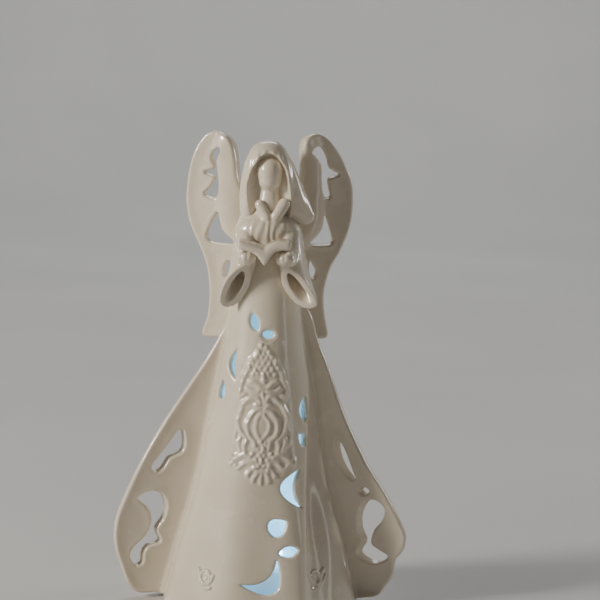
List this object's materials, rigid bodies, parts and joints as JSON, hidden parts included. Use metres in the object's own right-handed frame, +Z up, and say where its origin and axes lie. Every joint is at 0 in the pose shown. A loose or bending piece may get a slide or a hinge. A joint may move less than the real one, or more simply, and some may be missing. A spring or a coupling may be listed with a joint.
{
  "type": "lighted ceramic angel figurine",
  "caption": "Hollow white porcelain angel reading an open book, with pierced gown, wings and side drapes, and a pull-out battery light in its base.",
  "frame": {"origin": "middle of the hem on the table", "axes": "+Z up, the angel faces -Y, +X to the viewer's right as seen from the front"},
  "size_m": [0.1548, 0.0894, 0.2476],
  "materials": {
    "porcelain": "clear gloss glaze over warm white porcelain",
    "white_plastic": "satin moulded plastic",
    "frosted_plastic": "frosted diffuser",
    "silicone": "soft matt silicone",
    "circuit_board": "green solder mask",
    "led_epoxy": "clear epoxy, lit cool white",
    "cell_jacket": "plain coloured foil sleeve",
    "nickel": "nickel plate",
    "black_plastic": "satin moulded plastic",
    "red_wire": "insulated lead",
    "black_wire": "insulated lead",
    "white_wire": "insulated lead"
  },
  "bodies": {
    "figurine": {"gown": "porcelain", "left_sleeve": "porcelain", "right_sleeve": "porcelain", "open_book": "porcelain", "left_hand": "porcelain", "right_hand": "porcelain", "head": "porcelain", "hair": "porcelain", "collar": "porcelain", "left_drape": "porcelain", "right_drape": "porcelain", "left_wing": "porcelain", "right_wing": "porcelain", "front_medallion": "porcelain", "left_hem_sprig": "porcelain", "right_hem_sprig": "porcelain"},
    "light_module": {"light_base": "white_plastic", "light_cover": "white_plastic", "light_lens": "frosted_plastic", "led_board": "circuit_board", "led": "led_epoxy", "battery_1": "cell_jacket", "battery_2": "cell_jacket", "battery_3": "cell_jacket", "contact_spring_1": "nickel", "contact_spring_2": "nickel", "contact_spring_3": "nickel", "positive_terminal": "nickel", "negative_terminal": "nickel", "left_link_plate": "nickel", "right_link_plate": "nickel", "switch_body": "black_plastic", "socket_gasket": "silicone", "housing_screw_1": "nickel", "housing_screw_2": "nickel", "housing_screw_3": "nickel", "housing_screw_4": "nickel", "red_lead": "red_wire", "black_lead": "black_wire", "white_lead": "white_wire"},
    "battery_door": {"battery_door": "white_plastic"},
    "switch_knob": {"switch_knob": "black_plastic"}
  },
  "joints": [
    {"name": "light_slide", "type": "slide", "parent": "figurine", "child": "light_module", "axis": [0, 0, -1], "range_m": [0, 0.045]},
    {"name": "door_hinge", "type": "hinge", "parent": "light_module", "child": "battery_door", "pos_m": [0.02635, 0, 0.00265], "axis": [0, -1, 0], "range_deg": [0, 95]},
    {"name": "switch_slide", "type": "slide", "parent": "light_module", "child": "switch_knob", "axis": [-1, 0, 0], "range_m": [0, 0.004]}
  ]
}
